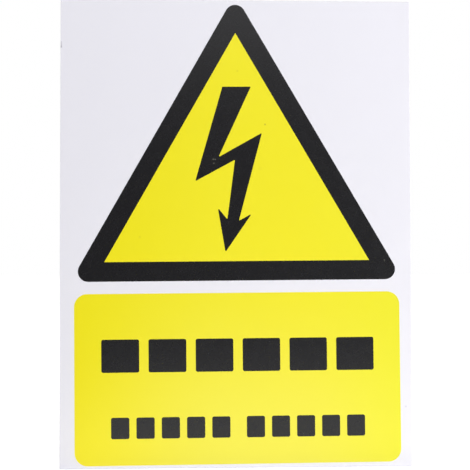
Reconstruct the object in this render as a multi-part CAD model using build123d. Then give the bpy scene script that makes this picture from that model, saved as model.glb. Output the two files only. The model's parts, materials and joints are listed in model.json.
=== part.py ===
from build123d import *
import os
from math import sqrt

# A warning sign: one flat plastic sheet with a print on its front. The print is a bordered triangle with a
# forked arrow in it, and below that a panel with two lines of plain blocks.
#
# Millimetres and degrees. The sign stands upright with +Z up. The origin is the middle of its back face,
# which lies on the wall, and the printed face looks towards -Y.

# The sheet
sheet_width = 150.0
sheet_height = 200.0
sheet_thickness = 1.0
sheet_corner_radius = 0.5
sheet_edge_round = 0.12

# The print as a whole
ink_thickness = 0.05
print_shift = 0.25           # to the right of the sheet's middle line
print_turn = 0.39            # anticlockwise, as seen from the front

# The triangle
triangle_top_margin = 2.0    # from the sheet's top edge to the rounded tip
triangle_side_margin = 7.25  # from the sheet's side to the rounded corner
triangle_corner_radius = 4.4
border_width = 8.3

# The forked arrow
arrow_top_drop = 23.2        # from the yellow field's top corner down to the arrow's top edge
arrow_foot_gap = 3.9         # from the arrow's point down to the border
arrow_corner_radius = 0.25

# Corners of the arrow, going round from its top left, as shares of its height. The first number is the
# place across, from the triangle's middle line, and the second is the height above the point.
arrow_corners = {
    "top_left": (-0.081, 1.000),
    "top_right": (0.091, 1.000),
    "upper_notch": (-0.108, 0.573),
    "right_elbow": (0.156, 0.719),
    "right_root": (0.012, 0.187),
    "right_barb": (0.091, 0.231),
    "point": (-0.070, 0.000),
    "left_barb": (-0.114, 0.267),
    "left_root": (-0.057, 0.196),
    "lower_notch": (-0.008, 0.557),
    "left_elbow": (-0.249, 0.428),
}

# The panel
panel_gap = 5.2              # between the triangle's base line and the panel
panel_side_margin = 5.6
panel_bottom_margin = 1.7
panel_corner_radius = 5.5

# The legend: two lines of plain blocks across the panel
legend_corner_radius = 0.8
upper_block_height = 14.0
upper_block_count = 6
upper_block_gap = 4.0
upper_side_margin = 11.4     # from the panel's side to the first block
lower_block_height = 9.0
lower_block_count = 5        # in each of the line's two groups
lower_block_gap = 3.0
lower_group_gap = 7.0
lower_side_margin = 15.4

# How the panel's free height is shared out: above the upper line, between the lines, and below
legend_spaces = (19.4, 19.0, 11.2)


def front_plane(layer=0):
    """The plane that a film of ink starts from: the sheet's front face, or the top of the films before it."""
    return Plane.XZ.offset(sheet_thickness + layer * ink_thickness)


def print_film(outline, layer=0):
    """One film of ink with this outline, turned and shifted as the whole print is."""
    placed = front_plane(layer) * Rot(0, 0, print_turn) * Pos(print_shift, 0) * outline
    return extrude(placed, ink_thickness)


def make_sheet():
    """The flat sheet, with its corners barely round and the edges of both faces broken."""
    outline = RectangleRounded(sheet_width, sheet_height, sheet_corner_radius)
    sheet = extrude(Plane.XZ * outline, sheet_thickness)
    face_edges = sheet.faces().sort_by(Axis.Y)[0].edges() + sheet.faces().sort_by(Axis.Y)[-1].edges()
    return fillet(face_edges, sheet_edge_round)


# The triangle's own lines. Rounding a corner of 60 degrees takes one radius off its tip, and sideways it
# takes off sqrt(3) - 1 of one.
triangle_side = sheet_width - 2 * triangle_side_margin + 2 * (sqrt(3) - 1) * triangle_corner_radius
triangle_height = triangle_side * sqrt(3) / 2
triangle_apex = sheet_height / 2 - triangle_top_margin + triangle_corner_radius
triangle_base = triangle_apex - triangle_height

# The yellow field inside the border
field_apex = triangle_apex - 2 * border_width
field_base = triangle_base + border_width
field_height = field_apex - field_base

# The panel and the free height in it
panel_top = triangle_base - panel_gap
panel_bottom = panel_bottom_margin - sheet_height / 2
panel_width = sheet_width - 2 * panel_side_margin
panel_height = panel_top - panel_bottom
panel_middle = (panel_top + panel_bottom) / 2
legend_free_height = panel_height - upper_block_height - lower_block_height
legend_space_unit = legend_free_height / sum(legend_spaces)
upper_line_height = panel_top - legend_spaces[0] * legend_space_unit - upper_block_height / 2
lower_line_height = panel_bottom + legend_spaces[2] * legend_space_unit + lower_block_height / 2


def triangle_outline(apex, height):
    """An equilateral triangle with sharp corners, its apex up."""
    half_side = height / sqrt(3)
    corners = [(0, apex), (-half_side, apex - height), (half_side, apex - height)]
    return make_face(Polyline(*corners, close=True))


def border_outline():
    """The ring between the rounded outer triangle and the sharp inner one."""
    outer = triangle_outline(triangle_apex, triangle_height)
    outer = fillet(outer.vertices(), triangle_corner_radius)
    return outer - triangle_outline(field_apex, field_height)


def arrow_outline():
    """The forked arrow, all its corners a little blunt, its height set by the yellow field it stands in."""
    point_height = field_base + arrow_foot_gap
    arrow_height = field_apex - arrow_top_drop - point_height
    corners = [
        (across * arrow_height, point_height + up * arrow_height)
        for across, up in arrow_corners.values()
    ]
    outline = make_face(Polyline(*corners, close=True))
    return fillet(outline.vertices(), arrow_corner_radius)


def panel_outline():
    """The rounded panel that fills the sheet below the triangle."""
    return Pos(0, panel_middle) * RectangleRounded(panel_width, panel_height, panel_corner_radius)


def block_row(start, end, height, count, gap, line_height):
    """Equal blocks that fill the stretch from start to end, centred on the line's height."""
    width = (end - start - (count - 1) * gap) / count
    block = RectangleRounded(width, height, legend_corner_radius)
    first = start + width / 2
    return [Pos(first + number * (width + gap), line_height) * block for number in range(count)]


def upper_line():
    """The upper line of the legend, one row of large blocks."""
    reach = panel_width / 2 - upper_side_margin
    return block_row(-reach, reach, upper_block_height, upper_block_count, upper_block_gap, upper_line_height)


def lower_line():
    """The lower line of the legend, two groups of small blocks with a wider gap between them."""
    reach = panel_width / 2 - lower_side_margin
    inner_end = lower_group_gap / 2
    row = (lower_block_height, lower_block_count, lower_block_gap, lower_line_height)
    return block_row(-reach, -inner_end, *row) + block_row(inner_end, reach, *row)


nodes = {
    "sheet": make_sheet(),
    "black_border": print_film(border_outline()),
    "yellow_triangle": print_film(triangle_outline(field_apex, field_height)),
    "arrow": print_film(arrow_outline(), layer=1),
    "yellow_panel": print_film(panel_outline()),
    "legend_upper": Compound([print_film(block, layer=1) for block in upper_line()]),
    "legend_lower": Compound([print_film(block, layer=1) for block in lower_line()]),
}

os.makedirs("parts", exist_ok=True)
for name, shape in nodes.items():
    export_step(shape, f"parts/{name}.step")
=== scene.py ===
"""The looks of a printed high voltage warning sign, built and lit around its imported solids.

Everything is in metres, in the sign's own frame: +Z is up, the back of the sheet lies on y = 0, and the
print looks towards -Y.
"""

import json
import logging
import math
from dataclasses import dataclass
from enum import Enum, IntEnum

import bpy
from mathutils import Matrix, Vector


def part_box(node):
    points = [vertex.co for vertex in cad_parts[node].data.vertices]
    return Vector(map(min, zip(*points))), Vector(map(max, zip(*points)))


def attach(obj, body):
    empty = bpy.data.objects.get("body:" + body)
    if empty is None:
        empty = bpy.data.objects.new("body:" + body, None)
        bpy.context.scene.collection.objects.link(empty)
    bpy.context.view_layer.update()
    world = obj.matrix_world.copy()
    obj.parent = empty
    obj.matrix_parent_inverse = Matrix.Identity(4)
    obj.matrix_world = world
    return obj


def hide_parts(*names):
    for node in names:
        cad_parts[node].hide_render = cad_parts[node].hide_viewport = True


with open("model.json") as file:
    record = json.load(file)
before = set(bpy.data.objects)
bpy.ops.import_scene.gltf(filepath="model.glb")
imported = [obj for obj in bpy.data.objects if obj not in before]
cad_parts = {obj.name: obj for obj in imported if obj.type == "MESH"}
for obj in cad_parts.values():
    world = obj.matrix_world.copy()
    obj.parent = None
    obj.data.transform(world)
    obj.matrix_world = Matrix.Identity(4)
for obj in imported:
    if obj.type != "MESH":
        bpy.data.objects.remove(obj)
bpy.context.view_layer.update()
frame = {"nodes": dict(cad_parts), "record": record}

log = logging.getLogger("warning_sign")

# A colour's red, green and blue, and the three numbers of a place, direction or stretch along X, Y and Z.
Tone = tuple[float, float, float]
Triple = tuple[float, float, float]

MM = 0.001
MICRON = 0.000001
BODY = "root"
PRINT_TURN = math.radians(0.39)
TOWARDS_READER = Vector((0, -1, 0))
WHITE_LIGHT = (1.0, 1.0, 1.0, 1.0)

# Nearly all of a noise lies between these two values.
NOISE_LOW = 0.3
NOISE_HIGH = 0.7

# How many finer layers the noise has in slow waves and saw strokes, in clouds, and in a sheen.
WAVE_LAYERS = 1.0
CLOUD_LAYERS = 3.0
SHEEN_LAYERS = 4.0

# How the legend's blocks are meshed: the steps round a corner, and how near two points become one.
CORNER_STEPS = 6
MERGE_DISTANCE = 1 * MICRON


class Slot(Enum):
    """The record's material slots."""

    PLASTIC = "white_plastic"
    YELLOW = "yellow_ink"
    BLACK = "black_ink"


class Ray(Enum):
    """The kinds of ray that see the bright studio instead of its plain light."""

    CAMERA = "Is Camera Ray"
    GLOSSY = "Is Glossy Ray"
    TRANSMISSION = "Is Transmission Ray"


class MixSocket(IntEnum):
    """The numbers of the sockets that a Mix node blends colours with."""

    SHARE = 0
    FIRST = 6
    SECOND = 7
    RESULT = 2


class Wiring:
    """Adds nodes to one node tree and joins them."""

    def __init__(self, tree: bpy.types.NodeTree) -> None:
        """Keeps the tree to build in.

        Args:
            tree: A shader, world or geometry node tree.
        """
        self.tree = tree

    def add(
        self,
        kind: str,
        inputs: dict[str | int, object] | None = None,
        **options: object,
    ) -> bpy.types.Node:
        """Adds one node.

        Args:
            kind: The node's type name.
            inputs: What each input gets, by its name or number: a socket to link, or a value to hold.
            **options: The node's own options.

        Returns:
            The new node.
        """
        node = self.tree.nodes.new(kind)
        for option, value in options.items():
            setattr(node, option, value)
        for key, value in (inputs or {}).items():
            if isinstance(value, bpy.types.NodeSocket):
                self.tree.links.new(value, node.inputs[key])
            else:
                node.inputs[key].default_value = value
        return node

    def math(self, operation: str, *values: object) -> bpy.types.NodeSocket:
        """Works out one number.

        Args:
            operation: The Math node's operation, such as MULTIPLY.
            *values: The sockets or numbers that it takes, in order.

        Returns:
            The result's socket.
        """
        return self.add("ShaderNodeMath", dict(enumerate(values)), operation=operation).outputs[0]

    def between(
        self,
        value: bpy.types.NodeSocket,
        start: float,
        end: float,
        low: float,
        high: float,
    ) -> bpy.types.NodeSocket:
        """Maps one range onto another, smoothly and with both ends held.

        Args:
            value: The number to map.
            start: The value that gives low.
            end: The value that gives high.
            low: The result at start.
            high: The result at end.

        Returns:
            The mapped number's socket.
        """
        inputs = {"Value": value, "From Min": start, "From Max": end, "To Min": low, "To Max": high}
        node = self.add("ShaderNodeMapRange", inputs, interpolation_type="SMOOTHSTEP")
        return node.outputs["Result"]

    def spread(self, noise: bpy.types.NodeSocket, low: float, high: float) -> bpy.types.NodeSocket:
        """Maps the values that a noise nearly always has onto another range.

        Args:
            noise: The noise to map.
            low: The result at the low end of the noise.
            high: The result at its high end.

        Returns:
            The mapped noise's socket.
        """
        return self.between(noise, NOISE_LOW, NOISE_HIGH, low, high)

    def blend(self, share: object, first: object, second: object) -> bpy.types.NodeSocket:
        """Blends two colours.

        Args:
            share: How much of the second colour shows, from 0 to 1.
            first: A colour socket, or a tone.
            second: A colour socket, or a tone.

        Returns:
            The blended colour's socket.
        """
        inputs = {MixSocket.SHARE: share}
        for number, colour in ((MixSocket.FIRST, first), (MixSocket.SECOND, second)):
            inputs[number] = colour if isinstance(colour, bpy.types.NodeSocket) else (*colour, 1.0)
        return self.add("ShaderNodeMix", inputs, data_type="RGBA").outputs[MixSocket.RESULT]

    def place(self) -> bpy.types.NodeSocket:
        """Gives the point on the sign that is being shaded.

        Returns:
            The point's socket, in metres in the sign's own frame.
        """
        return self.add("ShaderNodeTexCoord").outputs["Object"]

    def noise(
        self,
        size: float,
        layers: float = 2.0,
        squeeze: Triple = (1.0, 1.0, 1.0),
    ) -> bpy.types.NodeSocket:
        """Makes an uneven pattern over the sign.

        Args:
            size: How far apart its blotches are, in metres.
            layers: How many finer layers it has.
            squeeze: How much it is squeezed along X, Y and Z. Less than 1 draws it out.

        Returns:
            The pattern's socket, from 0 to 1.
        """
        squeezed = self.add("ShaderNodeVectorMath", {0: self.place(), 1: squeeze}, operation="MULTIPLY")
        inputs = {"Vector": squeezed.outputs[0], "Scale": 1.0 / size, "Detail": layers}
        return self.add("ShaderNodeTexNoise", inputs).outputs[0]

    def relief(
        self,
        height: bpy.types.NodeSocket,
        depth: float,
        under: bpy.types.NodeSocket | None = None,
    ) -> bpy.types.NodeSocket:
        """Turns a pattern into a bumpy surface.

        Args:
            height: The pattern, from 0 to 1.
            depth: How far its highest points stand out, in metres.
            under: The normal of a relief that this one lies on.

        Returns:
            The bumpy surface's normal.
        """
        inputs = {"Height": height, "Distance": depth, "Strength": 1.0}
        if under is not None:
            inputs["Normal"] = under
        return self.add("ShaderNodeBump", inputs).outputs["Normal"]


@dataclass(frozen=True)
class Mark:
    """A small spot on the face of the sign, such as a speck or a pinhole in the ink.

    Attributes:
        across: Its place to the right of the print's middle, in metres.
        up: Its place above the print's middle, in metres.
        radius: How far it reaches, in metres.
        tone: Its colour.
        strength: How much of that colour shows at its middle, from 0 to 1.
        core: The share of its radius within which it is as strong as at its middle.
    """

    across: float
    up: float
    radius: float
    tone: Tone
    strength: float
    core: float = 0.4

    def centre(self, depth: float) -> Vector:
        """Gives its place on the sign.

        Args:
            depth: Where the surface that it lies on is along Y.

        Returns:
            The point, in the sign's frame.
        """
        turned = Matrix.Rotation(PRINT_TURN, 4, TOWARDS_READER) @ Vector((self.across, 0, self.up))
        return Vector((turned.x, depth, turned.z))

    def over(self, wiring: Wiring, colour: bpy.types.NodeSocket, depth: float) -> bpy.types.NodeSocket:
        """Lays the mark over a colour.

        Args:
            wiring: The material's wiring.
            colour: The colour under the mark.
            depth: Where the surface that it lies on is along Y.

        Returns:
            The colour with the mark on it.
        """
        inputs = {0: wiring.place(), 1: self.centre(depth)}
        distance = wiring.add("ShaderNodeVectorMath", inputs, operation="DISTANCE").outputs["Value"]
        share = wiring.between(distance, self.core * self.radius, self.radius, self.strength, 0.0)
        return wiring.blend(share, colour, self.tone)


@dataclass(frozen=True)
class PaintedGradient:
    """A slow change of colour over a field of print, painted to stand in for how light, shade and glare
    fall across it, not a change in the ink.

    Attributes:
        direction: Which way it grows, in the sign's frame.
        start: How far that way from the sign's middle it sets in.
        end: How far that way it is complete.
        tone: The colour that it leads to.
    """

    direction: Triple
    start: float
    end: float
    tone: Tone

    def over(self, wiring: Wiring, colour: bpy.types.NodeSocket) -> bpy.types.NodeSocket:
        """Lays the painted light over a colour.

        Args:
            wiring: The material's wiring.
            colour: The colour that it sets in on.

        Returns:
            The faded colour.
        """
        inputs = {0: wiring.place(), 1: self.direction}
        along = wiring.add("ShaderNodeVectorMath", inputs, operation="DOT_PRODUCT").outputs["Value"]
        return wiring.blend(wiring.between(along, self.start, self.end, 0.0, 1.0), colour, self.tone)


@dataclass(frozen=True)
class PrintingInk:
    """A film of printing ink.

    Attributes:
        name: The material's name.
        tone: Its colour where the film is even.
        thin_tone: Its colour where the film is a little thin.
        roughness: How dull it is, from 0 to 1.
        unevenness: How far the roughness wanders, up and down.
        painted_gradients: The painted light, shade and glare laid over its fields.
        marks: The specks and pinholes in it.
        cloud_size: How far apart its thin places are.
        grain_size: The size of its fine grain.
        grain_share: How much of the even colour the grain brings back to a thin place, from 0 to 1.
        grain_depth: How far the grain stands out.
        wave_size: The size of its slow waves.
        wave_depth: How far the waves stand out.
        sheen_size: How far apart its duller places are.
    """

    name: str
    tone: Tone
    thin_tone: Tone
    roughness: float
    unevenness: float
    painted_gradients: tuple[PaintedGradient, ...] = ()
    marks: tuple[Mark, ...] = ()
    cloud_size: float = 22 * MM
    grain_size: float = 0.7 * MM
    grain_share: float = 0.5
    grain_depth: float = 1.2 * MICRON
    wave_size: float = 5 * MM
    wave_depth: float = 3 * MICRON
    sheen_size: float = 3 * MM

    def material(self, depth: float) -> bpy.types.Material:
        """Makes the ink.

        Args:
            depth: Where the film's front is along Y, which its marks lie on.

        Returns:
            The new material.
        """
        material, wiring, shader = new_surface(self.name)
        clouds = wiring.noise(self.cloud_size, CLOUD_LAYERS)
        colour = wiring.blend(clouds, self.tone, self.thin_tone)
        grains = wiring.spread(wiring.noise(self.grain_size), 0.0, self.grain_share)
        colour = wiring.blend(grains, colour, self.tone)
        # Painted light and shade, laid into the ink's colour.
        for gradient in self.painted_gradients:
            colour = gradient.over(wiring, colour)
        for mark in self.marks:
            colour = mark.over(wiring, colour, depth)
        sheen = wiring.noise(self.sheen_size, SHEEN_LAYERS)
        rough = wiring.spread(sheen, self.roughness - self.unevenness, self.roughness + self.unevenness)
        waves = wiring.relief(wiring.noise(self.wave_size, WAVE_LAYERS), self.wave_depth)
        grain = wiring.relief(wiring.noise(self.grain_size), self.grain_depth, waves)
        connect(wiring, shader, colour, rough, grain)
        return material


@dataclass(frozen=True)
class WhitePlastic:
    """The white semi-rigid plastic of the sheet: satin faces and dull cut edges.

    Attributes:
        name: The material's name.
        tone: The colour of its faces.
        cloud_tone: The colour of its faintly darker clouds.
        cut_edge_grey_and_shade: The colour of the cut edges: partly the grey of dull cut plastic, partly
            painted shade that darkens the sheet's outline.
        roughness: How dull the faces are, from 0 to 1.
        edge_roughness: How dull the cut edges are.
        marks: The specks in it and a short dark streak along its left edge.
        unevenness: How far the roughness wanders, up and down.
        cloud_size: How far apart its clouds are.
        sheen_size: How far apart its duller places are.
        peel_size: The size of its faint orange peel.
        peel_depth: How far the peel stands out.
        stroke_size: The width of the saw's strokes on the cut edges.
        stroke_squeeze: How the strokes are drawn out through the sheet's thickness.
        stroke_depth: How far the strokes stand out.
        edge_limit: How squarely a surface faces the front or the back where it looks fully cut.
        face_limit: How squarely it does so where it no longer looks cut.
    """

    name: str
    tone: Tone
    cloud_tone: Tone
    cut_edge_grey_and_shade: Tone
    roughness: float
    edge_roughness: float
    marks: tuple[Mark, ...] = ()
    unevenness: float = 0.04
    cloud_size: float = 35 * MM
    sheen_size: float = 5 * MM
    peel_size: float = 1.6 * MM
    peel_depth: float = 9 * MICRON
    stroke_size: float = 0.25 * MM
    stroke_squeeze: Triple = (1.0, 0.1, 1.0)
    stroke_depth: float = 60 * MICRON
    edge_limit: float = 0.3
    face_limit: float = 0.8

    def material(self, depth: float) -> bpy.types.Material:
        """Makes the plastic.

        Args:
            depth: Where the printed face is along Y, which its marks lie on.

        Returns:
            The new material.
        """
        material, wiring, shader = new_surface(self.name)
        normal = wiring.add("ShaderNodeTexCoord").outputs["Normal"]
        depthwise = wiring.add("ShaderNodeSeparateXYZ", {0: normal}).outputs["Y"]
        squareness = wiring.math("ABSOLUTE", depthwise)
        cut = wiring.between(squareness, self.edge_limit, self.face_limit, 1.0, 0.0)
        clouds = wiring.noise(self.cloud_size, CLOUD_LAYERS)
        colour = wiring.blend(clouds, self.tone, self.cloud_tone)
        for mark in self.marks:
            colour = mark.over(wiring, colour, depth)
        # The cut edges get a grey that is partly their own and partly painted shade along the outline.
        colour = wiring.blend(cut, colour, self.cut_edge_grey_and_shade)
        sheen = wiring.noise(self.sheen_size, SHEEN_LAYERS)
        satin = wiring.spread(sheen, self.roughness - self.unevenness, self.roughness + self.unevenness)
        dullness = wiring.math("MULTIPLY", cut, self.edge_roughness - self.roughness)
        rough = wiring.math("ADD", satin, dullness)
        peel = wiring.relief(wiring.noise(self.peel_size), self.peel_depth)
        strokes = wiring.noise(self.stroke_size, WAVE_LAYERS, self.stroke_squeeze)
        stroke_height = wiring.math("MULTIPLY", strokes, cut)
        cut_surface = wiring.relief(stroke_height, self.stroke_depth, peel)
        connect(wiring, shader, colour, rough, cut_surface)
        return material


def new_surface(name: str) -> tuple[bpy.types.Material, Wiring, bpy.types.Node]:
    """Starts a material.

    Args:
        name: The material's name.

    Returns:
        The material, its wiring, and its Principled shader.
    """
    material = bpy.data.materials.new(name)
    material.use_nodes = True
    wiring = Wiring(material.node_tree)
    shader = material.node_tree.nodes["Principled BSDF"]
    return material, wiring, shader


def connect(
    wiring: Wiring,
    shader: bpy.types.Node,
    colour: bpy.types.NodeSocket,
    roughness: bpy.types.NodeSocket,
    normal: bpy.types.NodeSocket,
) -> None:
    """Joins the three things that vary over a surface to its shader.

    Args:
        wiring: The material's wiring.
        shader: The material's Principled shader.
        colour: What goes to its base colour.
        roughness: What goes to its roughness.
        normal: What goes to its normal.
    """
    wiring.tree.links.new(colour, shader.inputs["Base Color"])
    wiring.tree.links.new(roughness, shader.inputs["Roughness"])
    wiring.tree.links.new(normal, shader.inputs["Normal"])


@dataclass
class PrintedSheet:
    """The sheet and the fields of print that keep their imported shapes.

    Attributes:
        plastic: The finish of the sheet.
        yellow: The ink of the triangle's field and of the panel.
        black: The ink of the border and the arrow.
    """

    plastic: WhitePlastic
    yellow: PrintingInk
    black: PrintingInk

    def dress(self) -> dict[Slot, bpy.types.Material]:
        """Gives the sheet and its print their finishes.

        Returns:
            The material made for each slot.
        """
        made = {
            Slot.PLASTIC: self.plastic.material(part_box("sheet")[0].y),
            Slot.YELLOW: self.yellow.material(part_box("yellow_panel")[0].y),
            Slot.BLACK: self.black.material(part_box("arrow")[0].y),
        }
        for part in frame["record"]["subparts"]:
            node = frame["nodes"][part["node"]]
            node.data.materials.clear()
            node.data.materials.append(made[Slot(part["material_slot"])])
            log.info("%s is dressed in %s", node.name, part["material_slot"])
        return made


@dataclass
class LegendLine:
    """One line of the legend: plain blocks of black ink in one or more groups.

    Attributes:
        name: The piece's name.
        node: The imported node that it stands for, which gives its place, length and height.
        groups: How many groups the line has.
        group_gap: The gap between two groups.
        blocks: How many blocks a group has.
        block_gap: The gap between two blocks of a group.
        corner_radius: How round the blocks' corners are.
        rim_width: How wide the rounded rim of the ink is.
        rim_segments: How many facets the rim has.
        rim_angle: How sharp an edge is before it gets the rim.
    """

    name: str
    node: str
    groups: int
    group_gap: float
    blocks: int
    block_gap: float
    corner_radius: float = 0.8 * MM
    rim_width: float = 0.02 * MM
    rim_segments: int = 2
    rim_angle: float = math.radians(60)

    def size(self) -> Triple:
        """Works out the line's own size from the box of its turned node.

        The round corners reach equally far however they are turned, so only what lies between them is
        turned back.

        Returns:
            Its length, its height, and the thickness of its ink.
        """
        low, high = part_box(self.node)
        wide, thick, tall = high - low
        rounding = 2 * self.corner_radius
        across, upward = wide - rounding, tall - rounding
        cosine, sine = math.cos(PRINT_TURN), math.sin(PRINT_TURN)
        spread = cosine**2 - sine**2
        length = (across * cosine - upward * sine) / spread + rounding
        height = (upward * cosine - across * sine) / spread + rounding
        return length, height, thick

    def build(self, ink: bpy.types.Material) -> bpy.types.Object:
        """Makes the line's mesh where its node is.

        Args:
            ink: The ink it is printed with.

        Returns:
            The finished piece.
        """
        length, height, thick = self.size()
        gaps = (self.groups - 1) * self.group_gap + self.groups * (self.blocks - 1) * self.block_gap
        block_width = (length - gaps) / (self.groups * self.blocks)
        block_pitch = block_width + self.block_gap
        group_pitch = (self.blocks - 1) * block_pitch + block_width + self.group_gap
        sizes = {
            "Groups": self.groups,
            "Group Pitch": group_pitch,
            "Blocks": self.blocks,
            "Block Pitch": block_pitch,
            "Block Width": block_width,
            "Block Height": height,
            "Corner Radius": self.corner_radius,
            "Film Thickness": thick,
            "Ink": ink,
        }
        piece = plain_mesh(self.name, block_tree(), sizes)
        piece.data.transform(self.placement())
        soften = piece.modifiers.new("soft_ink_edge", "BEVEL")
        soften.width = self.rim_width
        soften.segments = self.rim_segments
        soften.limit_method = "ANGLE"
        soften.angle_limit = self.rim_angle
        return piece

    def placement(self) -> Matrix:
        """Works out how a line that is laid flat, its ink upwards, gets to its place on the sign.

        Returns:
            The move that takes it there.
        """
        low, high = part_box(self.node)
        middle = (low + high) / 2
        stand_up = Matrix.Rotation(math.radians(90), 4, "X")
        turn = Matrix.Rotation(PRINT_TURN, 4, TOWARDS_READER)
        return Matrix.Translation((middle.x, high.y, middle.z)) @ turn @ stand_up


def block_tree() -> bpy.types.NodeTree:
    """Makes the Geometry Nodes that lay out groups of rounded blocks along X, centred on the origin.

    Returns:
        The tree, whose inputs are the sizes of the line.
    """
    tree = bpy.data.node_groups.new("legend_blocks", "GeometryNodeTree")
    sockets = {
        "Groups": "NodeSocketInt",
        "Group Pitch": "NodeSocketFloat",
        "Blocks": "NodeSocketInt",
        "Block Pitch": "NodeSocketFloat",
        "Block Width": "NodeSocketFloat",
        "Block Height": "NodeSocketFloat",
        "Corner Radius": "NodeSocketFloat",
        "Film Thickness": "NodeSocketFloat",
        "Ink": "NodeSocketMaterial",
    }
    for name, kind in sockets.items():
        tree.interface.new_socket(name, in_out="INPUT", socket_type=kind)
    tree.interface.new_socket("Geometry", in_out="OUTPUT", socket_type="NodeSocketGeometry")
    wiring = Wiring(tree)
    given = wiring.add("NodeGroupInput").outputs

    outline = wiring.add(
        "GeometryNodeCurvePrimitiveQuadrilateral",
        {"Width": given["Block Width"], "Height": given["Block Height"]},
        mode="RECTANGLE",
    )
    rounded = wiring.add(
        "GeometryNodeFilletCurve",
        {
            "Curve": outline.outputs[0],
            "Radius": given["Corner Radius"],
            "Count": CORNER_STEPS,
            "Limit Radius": True,
        },
        mode="POLY",
    )
    face = wiring.add("GeometryNodeFillCurve", {"Curve": rounded.outputs[0]}, mode="NGONS")
    raised = wiring.add(
        "GeometryNodeExtrudeMesh",
        {"Mesh": face.outputs[0], "Offset Scale": given["Film Thickness"], "Individual": False},
    )
    underside = wiring.add("GeometryNodeFlipFaces", {"Mesh": face.outputs[0]})
    both = wiring.add("GeometryNodeJoinGeometry")
    tree.links.new(raised.outputs["Mesh"], both.inputs[0])
    tree.links.new(underside.outputs[0], both.inputs[0])
    inputs = {"Geometry": both.outputs[0], "Distance": MERGE_DISTANCE}
    block = wiring.add("GeometryNodeMergeByDistance", inputs)
    group = along_line(wiring, block.outputs[0], given["Blocks"], given["Block Pitch"])
    line = along_line(wiring, group, given["Groups"], given["Group Pitch"])
    solid = wiring.add("GeometryNodeRealizeInstances", {"Geometry": line})
    inked = wiring.add("GeometryNodeSetMaterial", {"Geometry": solid.outputs[0], "Material": given["Ink"]})
    wiring.add("NodeGroupOutput", {0: inked.outputs[0]})
    return tree


def along_line(
    wiring: Wiring,
    geometry: bpy.types.NodeSocket,
    count: bpy.types.NodeSocket,
    pitch: bpy.types.NodeSocket,
) -> bpy.types.NodeSocket:
    """Repeats a shape along X, centred on the origin.

    Args:
        wiring: The tree's wiring.
        geometry: The shape to repeat.
        count: How many there are.
        pitch: How far apart they are.

    Returns:
        The repeated shape's socket.
    """
    steps = wiring.math("SUBTRACT", count, 1.0)
    half = wiring.math("MULTIPLY", wiring.math("MULTIPLY", steps, pitch), -0.5)
    start = wiring.add("ShaderNodeCombineXYZ", {"X": half})
    step = wiring.add("ShaderNodeCombineXYZ", {"X": pitch})
    inputs = {"Count": count, "Start Location": start.outputs[0], "Offset": step.outputs[0]}
    line = wiring.add("GeometryNodeMeshLine", inputs, mode="OFFSET")
    inputs = {"Points": line.outputs[0], "Instance": geometry}
    return wiring.add("GeometryNodeInstanceOnPoints", inputs).outputs[0]


def plain_mesh(name: str, tree: bpy.types.NodeTree, sizes: dict[str, object]) -> bpy.types.Object:
    """Runs a tree once and keeps its result as a plain mesh.

    Args:
        name: The new object's name.
        tree: The Geometry Nodes to run.
        sizes: What each of its inputs gets, by the input's name.

    Returns:
        An object at the origin, with no modifier.
    """
    maker = bpy.data.objects.new(name + "_maker", bpy.data.meshes.new(name + "_maker"))
    bpy.context.scene.collection.objects.link(maker)
    modifier = maker.modifiers.new("layout", "NODES")
    modifier.node_group = tree
    for item in tree.interface.items_tree:
        if item.item_type == "SOCKET" and item.in_out == "INPUT":
            modifier[item.identifier] = sizes[item.name]
    maker.update_tag()
    bpy.context.view_layer.update()
    evaluated = maker.evaluated_get(bpy.context.evaluated_depsgraph_get())
    mesh = bpy.data.meshes.new_from_object(evaluated)
    bpy.data.objects.remove(maker)
    mesh.name = name
    piece = bpy.data.objects.new(name, mesh)
    bpy.context.scene.collection.objects.link(piece)
    return piece


@dataclass
class Studio:
    """The plain white studio: its floor and its light from all round.

    Attributes:
        floor_height: Where the floor is, under the sign's lower edge.
        floor_reach: How far the floor goes each way.
        ambient: The brightness of the light from all round.
        floor_albedo: How much light the floor throws back.
        floor_roughness: How dull the floor is, from 0 to 1.
        floor_lift: What is added to the floor where the camera or a gloss sees it, so that it is white.
    """

    floor_height: float
    floor_reach: float = 12.0
    ambient: float = 0.504
    floor_albedo: float = 0.80
    floor_roughness: float = 0.9
    floor_lift: float = 0.64

    def build(self) -> None:
        """Builds the floor and the world."""
        self.build_floor()
        self.build_world()

    def build_floor(self) -> None:
        """Lays the floor."""
        reach = self.floor_reach
        corners = [(-reach, -reach), (reach, -reach), (reach, reach), (-reach, reach)]
        floor = flat_piece("studio_floor", [(x, y, self.floor_height) for x, y in corners])
        floor.data.materials.append(self.floor_paper())

    def floor_paper(self) -> bpy.types.Material:
        """Makes the white paper of the floor, which still takes the sign's shadow.

        Returns:
            The new material.
        """
        material, wiring, shader = new_surface("studio_paper")
        albedo = self.floor_albedo
        shader.inputs["Base Color"].default_value = (albedo, albedo, albedo, 1.0)
        shader.inputs["Roughness"].default_value = self.floor_roughness
        shader.inputs["Emission Color"].default_value = WHITE_LIGHT
        lift = wiring.math("MULTIPLY", seen_by(wiring), self.floor_lift)
        wiring.tree.links.new(lift, shader.inputs["Emission Strength"])
        return material

    def build_world(self) -> None:
        """Makes the world white to the camera and to glosses, and plain light to all else."""
        world = bpy.data.worlds.new("studio_air")
        bpy.context.scene.world = world
        world.use_nodes = True
        wiring = Wiring(world.node_tree)
        air = world.node_tree.nodes["Background"]
        air.inputs["Color"].default_value = WHITE_LIGHT
        strength = wiring.between(seen_by(wiring), 0.0, 1.0, self.ambient, 1.0)
        wiring.tree.links.new(strength, air.inputs["Strength"])


def seen_by(wiring: Wiring) -> bpy.types.NodeSocket:
    """Gives 1 for the rays that see the bright studio, and 0 for the rest.

    Args:
        wiring: The wiring of a material or a world.

    Returns:
        The socket with that number.
    """
    path = wiring.add("ShaderNodeLightPath").outputs
    either = wiring.math("MAXIMUM", path[Ray.CAMERA.value], path[Ray.GLOSSY.value])
    return wiring.math("MAXIMUM", either, path[Ray.TRANSMISSION.value])


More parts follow.
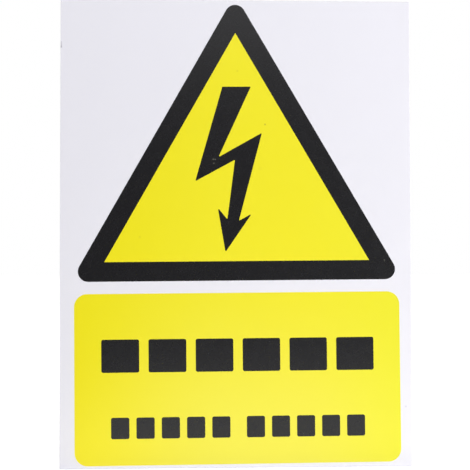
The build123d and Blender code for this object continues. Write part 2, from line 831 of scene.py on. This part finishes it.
def flat_piece(name: str, corners: list[Triple]) -> bpy.types.Object:
    """Makes one flat face.

    Args:
        name: The object's name.
        corners: Its corners, going round.

    Returns:
        The new object.
    """
    mesh = bpy.data.meshes.new(name)
    mesh.from_pydata(corners, [], [tuple(range(len(corners)))])
    piece = bpy.data.objects.new(name, mesh)
    bpy.context.scene.collection.objects.link(piece)
    return piece


@dataclass(frozen=True)
class Card:
    """A flat card or cloth that the camera doesn't see, there for the sign's gloss and light.

    Attributes:
        name: Its name.
        low: Its lowest corner along X, Y and Z. It stands upright or lies flat.
        high: Its highest corner along X, Y and Z.
        tone: Its own colour.
        glow: How brightly it shines.
        lights_the_sign: Whether it lights the sign, or only shows in its gloss.
    """

    name: str
    low: Triple
    high: Triple
    tone: Tone = (0.01, 0.01, 0.01)
    glow: float = 0.0
    lights_the_sign: bool = False

    def corners(self) -> list[Triple]:
        """Works out its four corners.

        Returns:
            The corners, going round.
        """
        left, near, bottom = self.low
        right, far, top = self.high
        return [(left, near, bottom), (right, near, bottom), (right, far, top), (left, far, top)]

    def build(self) -> None:
        """Sets up the card."""
        card = flat_piece(self.name, self.corners())
        material, _, shader = new_surface(self.name)
        shader.inputs["Base Color"].default_value = (*self.tone, 1.0)
        shader.inputs["Specular IOR Level"].default_value = 0.0
        shader.inputs["Emission Color"].default_value = WHITE_LIGHT
        shader.inputs["Emission Strength"].default_value = self.glow
        card.data.materials.append(material)
        card.visible_camera = False
        card.visible_shadow = False
        card.visible_diffuse = self.lights_the_sign


REFLECTOR_TONE: Tone = (0.8, 0.8, 0.8)

CARDS = (
    Card("dark_card", (-0.40, -0.47, -0.10), (0.32, -0.47, 0.178)),
    Card("dark_cloth", (-0.40, -0.47, -0.099), (0.32, -0.18, -0.099)),
    Card(
        name="reflector",
        low=(-0.074, -0.33, -0.098),
        high=(0.14, -0.007, -0.098),
        tone=REFLECTOR_TONE,
        glow=0.505,
        lights_the_sign=True,
    ),
    Card(
        name="reflector_lip",
        low=(-0.074, -0.007, -0.0994),
        high=(0.14, -0.0008, -0.0994),
        tone=REFLECTOR_TONE,
        glow=0.24,
        lights_the_sign=True,
    ),
)


@dataclass(frozen=True)
class SoftLamp:
    """A square soft lamp that shines at the middle of the sign.

    Attributes:
        name: The lamp's name.
        place: Where it stands.
        watts: Its power.
        side: The length of its side.
    """

    name: str
    place: Triple
    watts: float
    side: float = 0.6

    def build(self) -> None:
        """Sets up the lamp."""
        data = bpy.data.lights.new(self.name, "AREA")
        data.shape = "SQUARE"
        data.size = self.side
        data.energy = self.watts
        lamp = bpy.data.objects.new(self.name, data)
        direction = -Vector(self.place)
        lamp.rotation_euler = direction.to_track_quat("-Z", "Y").to_euler()
        lamp.location = self.place
        bpy.context.scene.collection.objects.link(lamp)


LAMPS = (
    SoftLamp("key_lamp", (0.90, -0.90, 0.25), watts=9.15),
    SoftLamp("back_lamp", (-0.20, 1.30, 0.80), watts=9.0),
)


@dataclass(frozen=True)
class PhotoCamera:
    """The camera, set where the photograph was taken from.

    Attributes:
        distance: How far it is from the middle of the sign's back, along its own line of sight.
        sign_right: How far the sign's middle is to the right of that line.
        sign_up: How far the sign's middle is above that line.
        yaw: How far the sign is turned about its upright.
        pitch: How far the sign is tipped.
        roll: How far the sign is rolled.
        focal_length: The length of its lens, in millimetres.
        sensor_width: The width of its sensor, in millimetres.
        nearest: How near the things that it shows may be.
        farthest: How far away they may be.
    """

    distance: float = 449.07 * MM
    sign_right: float = 0.56 * MM
    sign_up: float = 1.05 * MM
    yaw: float = math.radians(2.20)
    pitch: float = math.radians(-1.83)
    roll: float = math.radians(-0.11)
    focal_length: float = 80.3
    sensor_width: float = 36.0
    nearest: float = 1 * MM
    farthest: float = 100.0

    def build(self) -> None:
        """Sets up the camera and makes it the scene's own."""
        turned = (
            Matrix.Rotation(self.roll, 3, "Y")
            @ Matrix.Rotation(self.pitch, 3, "X")
            @ Matrix.Rotation(self.yaw, 3, "Z")
        )
        right, forward, up = turned
        place = -(turned.transposed() @ Vector((self.sign_right, self.distance, self.sign_up)))
        data = bpy.data.cameras.new("photo_camera")
        data.lens = self.focal_length
        data.sensor_width = self.sensor_width
        data.clip_start = self.nearest
        data.clip_end = self.farthest
        camera = bpy.data.objects.new("photo_camera", data)
        facing = Matrix((right, up, -forward)).transposed().to_4x4()
        camera.matrix_world = Matrix.Translation(place) @ facing
        bpy.context.scene.collection.objects.link(camera)
        bpy.context.scene.camera = camera


PINHOLE: Tone = (0.15, 0.15, 0.12)
GRIT: Tone = (0.42, 0.33, 0.03)
SPECK: Tone = (0.55, 0.50, 0.66)
DARK_STREAK: Tone = (0.34, 0.32, 0.38)

PLASTIC_MARKS = (
    Mark(71.9 * MM, -75.0 * MM, 0.6 * MM, SPECK, 0.35),
    # Three marks make a short dark streak along the left edge.
    Mark(-74.4 * MM, 80.0 * MM, 0.8 * MM, DARK_STREAK, 0.7),
    Mark(-74.4 * MM, 80.9 * MM, 0.8 * MM, DARK_STREAK, 0.45),
    Mark(-74.4 * MM, 81.8 * MM, 0.8 * MM, DARK_STREAK, 0.35),
)
# Painted light on the yellow ink: washed out and bluer towards the bottom as a painted glare, deeper and
# slightly darker towards the left as painted shade, and less red towards the right, also painted light.
# None of it is a change in the ink.
YELLOW_PAINTED_LIGHT = (
    PaintedGradient((0.0, 0.0, -1.0), 0 * MM, 115 * MM, (0.880, 0.812, 0.074)),
    PaintedGradient((-1.0, 0.0, 0.0), 0 * MM, 75 * MM, (0.905, 0.800, 0.002)),
    PaintedGradient((1.0, 0.0, 0.0), 20 * MM, 90 * MM, (0.855, 0.814, 0.020)),
)
YELLOW_MARKS = (
    Mark(12.7 * MM, 46.3 * MM, 0.55 * MM, GRIT, 0.5),
    Mark(1.0 * MM, 69.4 * MM, 0.65 * MM, GRIT, 0.15),
    Mark(10.5 * MM, 27.3 * MM, 1.1 * MM, GRIT, 0.06),
    Mark(-41.2 * MM, -1.7 * MM, 0.8 * MM, GRIT, 0.12),
)
BLACK_MARKS = (
    Mark(-9.6 * MM, 31.4 * MM, 0.45 * MM, PINHOLE, 0.9),
    Mark(-8.8 * MM, 31.4 * MM, 0.40 * MM, PINHOLE, 0.8),
    Mark(-9.4 * MM, 29.7 * MM, 0.50 * MM, PINHOLE, 0.5),
    Mark(63.5 * MM, -12.3 * MM, 0.45 * MM, PINHOLE, 0.45),
)

SIGN = PrintedSheet(
    plastic=WhitePlastic(
        name="white_plastic",
        tone=(0.86, 0.85, 0.92),
        cloud_tone=(0.84, 0.83, 0.90),
        # The cut edges' grey, partly painted shade along the outline.
        cut_edge_grey_and_shade=(0.66, 0.65, 0.69),
        roughness=0.32,
        edge_roughness=0.62,
        marks=PLASTIC_MARKS,
    ),
    yellow=PrintingInk(
        name="yellow_ink",
        tone=(0.913, 0.818, 0.014),
        thin_tone=(0.914, 0.823, 0.019),
        roughness=0.29,
        unevenness=0.015,
        painted_gradients=YELLOW_PAINTED_LIGHT,
        marks=YELLOW_MARKS,
    ),
    black=PrintingInk(
        name="black_ink",
        tone=(0.0122, 0.0119, 0.0137),
        thin_tone=(0.0142, 0.0139, 0.0157),
        roughness=0.27,
        unevenness=0.012,
        marks=BLACK_MARKS,
    ),
)

LEGEND = (
    LegendLine("upper_blocks", "legend_upper", groups=1, group_gap=0.0, blocks=6, block_gap=4.0 * MM),
    LegendLine("lower_blocks", "legend_lower", groups=2, group_gap=7.0 * MM, blocks=5, block_gap=3.0 * MM),
)


def main() -> None:
    """Dresses the sign, prints its legend, and sets up the studio and the camera."""
    logging.basicConfig(level=logging.INFO, format="%(name)s: %(message)s")
    materials = SIGN.dress()
    for line in LEGEND:
        piece = line.build(materials[Slot.BLACK])
        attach(piece, BODY)
        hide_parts(line.node)
        log.info("%s has %d faces", piece.name, len(piece.data.polygons))
    Studio(floor_height=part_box("sheet")[0].z).build()
    for fitting in (*CARDS, *LAMPS):
        fitting.build()
        log.info("%s is set up", fitting.name)
    PhotoCamera().build()
    bpy.context.scene.view_settings.view_transform = "Standard"


if __name__ == "__main__":
    main()
